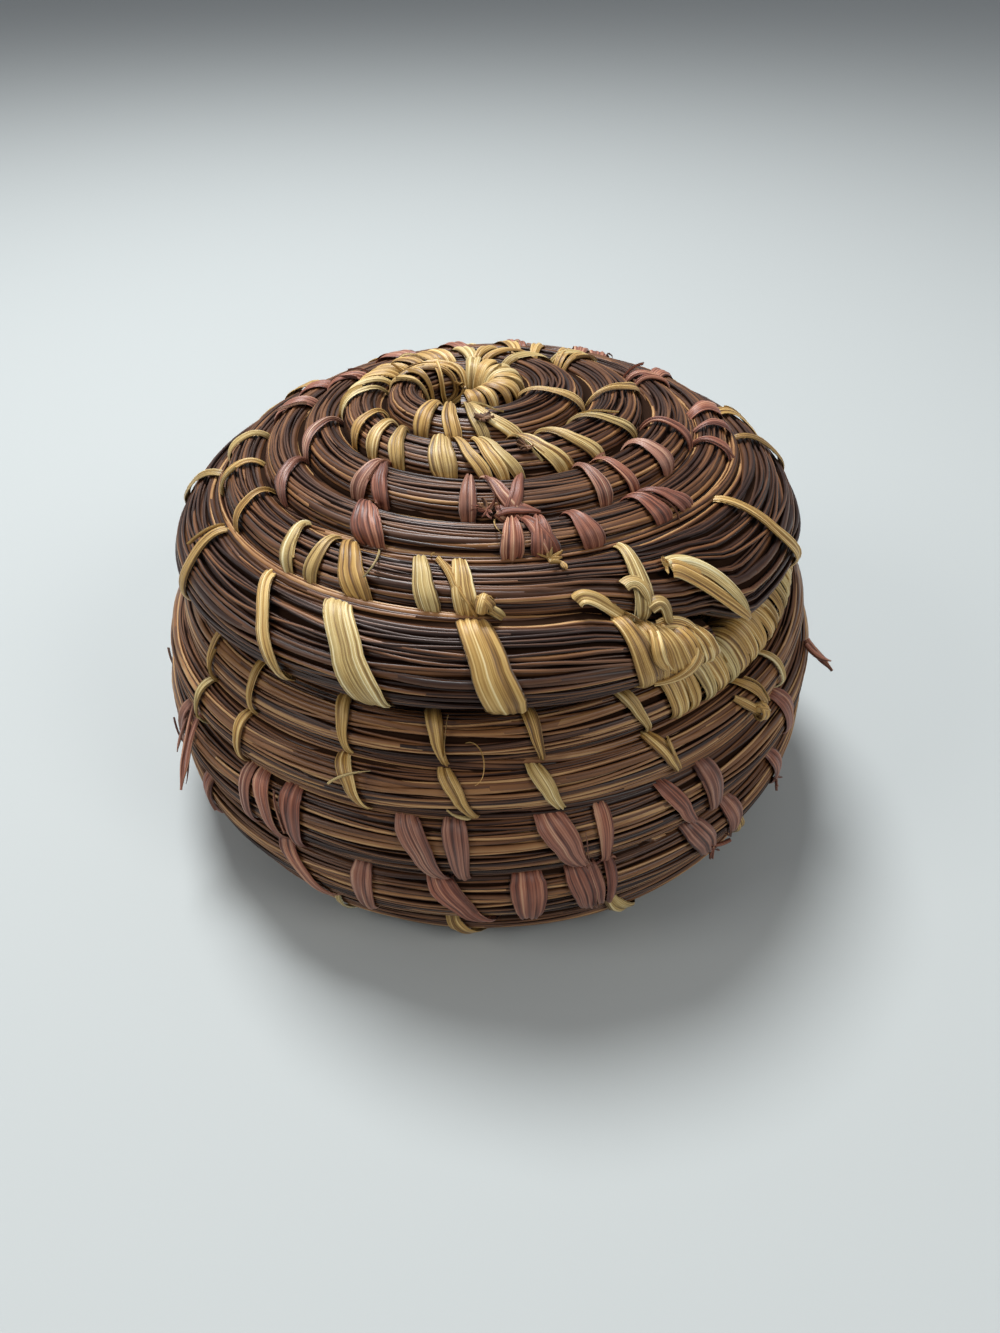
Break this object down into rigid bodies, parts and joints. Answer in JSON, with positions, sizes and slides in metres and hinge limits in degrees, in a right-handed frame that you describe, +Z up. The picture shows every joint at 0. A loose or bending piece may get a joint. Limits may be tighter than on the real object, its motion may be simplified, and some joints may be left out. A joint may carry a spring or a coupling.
{
  "type": "lidded coiled basket",
  "caption": "Small round coiled pine needle basket with a domed lift-off lid, sewn with tan and dusty rose raffia.",
  "frame": {"origin": "on the table plane under the middle of the basket", "axes": "+Z up along the lid's lift, -Y towards the viewer of the picture, +X to the viewer's right"},
  "size_m": [0.13, 0.1302, 0.0828],
  "materials": {
    "pine_needle": "satin dried needle bundle",
    "tan_raffia": "satin raffia",
    "rose_raffia": "satin dyed raffia"
  },
  "bodies": {
    "basket": {"basket_coil": "pine_needle", "basket_start_wrap": "tan_raffia", "base_strand_1": "tan_raffia", "base_strand_2": "tan_raffia", "base_strand_3": "tan_raffia", "base_strand_4": "tan_raffia", "wall_strand_bottom_tan": "tan_raffia", "wall_strand_lower_rose": "rose_raffia", "wall_strand_upper_rose": "rose_raffia", "wall_strand_upper_tan": "tan_raffia", "wall_strand_rim_tan": "tan_raffia", "basket_end_wrap": "tan_raffia", "basket_knot": "tan_raffia", "loose_end_right": "rose_raffia", "loose_end_left": "rose_raffia"},
    "lid": {"lid_coil": "pine_needle", "lid_start_wrap": "tan_raffia", "lid_strand_1_tan": "tan_raffia", "lid_strand_2_tan": "tan_raffia", "lid_strand_3_rose": "rose_raffia", "lid_strand_4_rose": "rose_raffia", "lid_strand_5_tan": "tan_raffia", "lid_strand_rim_tan": "tan_raffia", "lid_end_wrap": "tan_raffia", "lid_knot": "tan_raffia", "lid_locating_ring": "pine_needle", "lid_ring_strand": "tan_raffia"}
  },
  "joints": [
    {"name": "lid_lift", "type": "slide", "parent": "basket", "child": "lid", "axis": [0, 0, 1], "range_m": [0, 0.12]}
  ]
}
